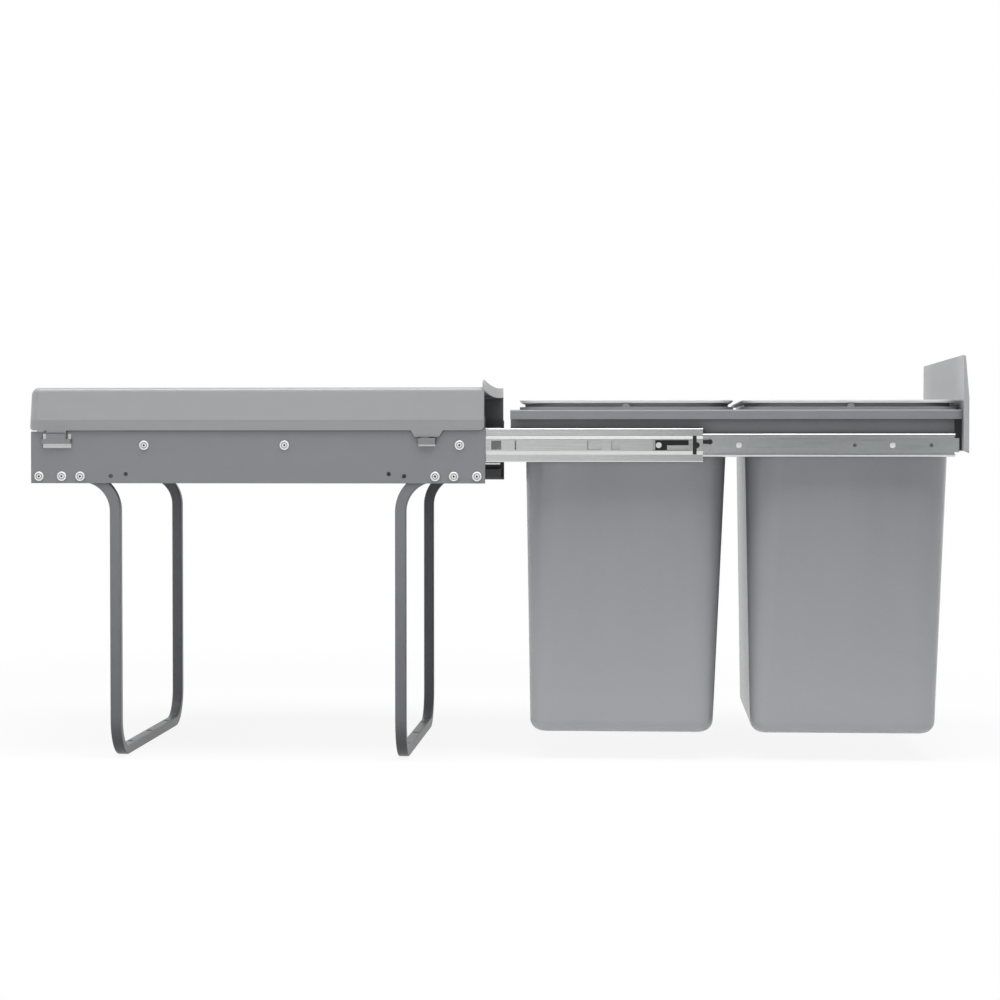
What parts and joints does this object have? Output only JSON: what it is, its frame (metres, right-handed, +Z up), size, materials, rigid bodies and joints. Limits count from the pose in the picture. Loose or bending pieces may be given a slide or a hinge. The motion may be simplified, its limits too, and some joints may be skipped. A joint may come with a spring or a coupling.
{
  "type": "pull out bin frame",
  "caption": "Steel cabinet frame with side plates, hood and bent-tube legs; ball-bearing slides carry a tray with lift-out waste bins and a door panel.",
  "frame": {"origin": "middle of the floor-fixing holes, at the cabinet floor under the two foot bars", "axes": "+X out of the cabinet, the way the tray pulls out; +Y across the cabinet; +Z up"},
  "size_m": [0.9813, 0.3454, 0.424],
  "materials": {
    "chassis_coat": "powder coat, satin",
    "hood_coat": "powder coat, satin",
    "leg_coat": "powder coat, satin",
    "tray_coat": "powder coat, satin",
    "panel_coat": "powder coat, satin",
    "bracket_coat": "black e-coat",
    "slide_zinc": "bright galvanised",
    "cage_steel": "rolled strip",
    "ball_steel": "polished",
    "rivet_zinc": "zinc plated",
    "black_plastic": "moulded acetal",
    "bin_plastic": "moulded polypropylene",
    "ring_plastic": "moulded polypropylene"
  },
  "bodies": {
    "chassis": {"side_plate_left": "chassis_coat", "side_plate_right": "chassis_coat", "leg_rivets_left": "rivet_zinc", "leg_rivets_right": "rivet_zinc", "slide_rivets_left": "rivet_zinc", "slide_rivets_right": "rivet_zinc", "leg_rear": "leg_coat", "leg_front": "leg_coat", "rear_cross_rail": "chassis_coat", "hood": "hood_coat", "cabinet_member_left": "slide_zinc", "cabinet_member_right": "slide_zinc"},
    "runner_left": {"runner_left": "slide_zinc", "runner_end_stop_left": "black_plastic"},
    "runner_right": {"runner_right": "slide_zinc", "runner_end_stop_right": "black_plastic"},
    "outer_cage_left": {"outer_cage_left": "cage_steel", "outer_balls_left": "ball_steel"},
    "outer_cage_right": {"outer_cage_right": "cage_steel", "outer_balls_right": "ball_steel"},
    "inner_cage_left": {"inner_cage_left": "cage_steel", "inner_balls_left": "ball_steel"},
    "inner_cage_right": {"inner_cage_right": "cage_steel", "inner_balls_right": "ball_steel"},
    "tray": {"drawer_member_left": "slide_zinc", "drawer_member_right": "slide_zinc", "slide_screws_left": "rivet_zinc", "slide_screws_right": "rivet_zinc", "lever_pin_left": "rivet_zinc", "lever_pin_right": "rivet_zinc", "tray_side_left": "tray_coat", "tray_side_right": "tray_coat", "tray_rear_rail": "tray_coat", "tray_middle_rail": "tray_coat", "tray_front_rail": "tray_coat", "front_panel": "panel_coat", "panel_bracket_left": "bracket_coat", "panel_bracket_right": "bracket_coat", "panel_screws": "rivet_zinc"},
    "release_lever_left": {"release_lever_left": "black_plastic"},
    "release_lever_right": {"release_lever_right": "black_plastic"},
    "rear_bin": {"bin_rear": "bin_plastic", "bin_rim_rear": "bin_plastic"},
    "rear_liner_ring": {"liner_ring_rear": "ring_plastic"},
    "front_bin": {"bin_front": "bin_plastic", "bin_rim_front": "bin_plastic"},
    "front_liner_ring": {"liner_ring_front": "ring_plastic"}
  },
  "joints": [
    {"name": "tray_slide", "type": "slide", "parent": "chassis", "child": "tray", "axis": [1, 0, 0], "range_m": [-0.49, 0]},
    {"name": "runner_left_slide", "type": "slide", "parent": "chassis", "child": "runner_left", "axis": [1, 0, 0], "range_m": [-0.245, 0]},
    {"name": "outer_cage_left_slide", "type": "slide", "parent": "chassis", "child": "outer_cage_left", "axis": [1, 0, 0], "range_m": [-0.1225, 0]},
    {"name": "inner_cage_left_slide", "type": "slide", "parent": "chassis", "child": "inner_cage_left", "axis": [1, 0, 0], "range_m": [-0.3675, 0]},
    {"name": "left_lever_hinge", "type": "hinge", "parent": "tray", "child": "release_lever_left", "pos_m": [0.4205, -0.159, 0.331], "axis": [0, 1, 0], "range_deg": [0, 8], "stiffness_Nm_per_rad": 0.02, "springref_deg": -8.59},
    {"name": "runner_right_slide", "type": "slide", "parent": "chassis", "child": "runner_right", "axis": [1, 0, 0], "range_m": [-0.245, 0]},
    {"name": "outer_cage_right_slide", "type": "slide", "parent": "chassis", "child": "outer_cage_right", "axis": [1, 0, 0], "range_m": [-0.1225, 0]},
    {"name": "inner_cage_right_slide", "type": "slide", "parent": "chassis", "child": "inner_cage_right", "axis": [1, 0, 0], "range_m": [-0.3675, 0]},
    {"name": "right_lever_hinge", "type": "hinge", "parent": "tray", "child": "release_lever_right", "pos_m": [0.4205, 0.159, 0.331], "axis": [0, 1, 0], "range_deg": [0, 8], "stiffness_Nm_per_rad": 0.02, "springref_deg": -8.59},
    {"name": "rear_bin_lift", "type": "slide", "parent": "tray", "child": "rear_bin", "axis": [0, 0, 1], "range_m": [0, 0.36]},
    {"name": "rear_ring_lift", "type": "slide", "parent": "rear_bin", "child": "rear_liner_ring", "axis": [0, 0, 1], "range_m": [0, 0.04]},
    {"name": "front_bin_lift", "type": "slide", "parent": "tray", "child": "front_bin", "axis": [0, 0, 1], "range_m": [0, 0.36]},
    {"name": "front_ring_lift", "type": "slide", "parent": "front_bin", "child": "front_liner_ring", "axis": [0, 0, 1], "range_m": [0, 0.04]}
  ],
  "couplings": [
    {"joint": "runner_left_slide", "follows": "tray_slide", "ratio": 0.5},
    {"joint": "outer_cage_left_slide", "follows": "tray_slide", "ratio": 0.25},
    {"joint": "inner_cage_left_slide", "follows": "tray_slide", "ratio": 0.75},
    {"joint": "runner_right_slide", "follows": "tray_slide", "ratio": 0.5},
    {"joint": "outer_cage_right_slide", "follows": "tray_slide", "ratio": 0.25},
    {"joint": "inner_cage_right_slide", "follows": "tray_slide", "ratio": 0.75}
  ]
}
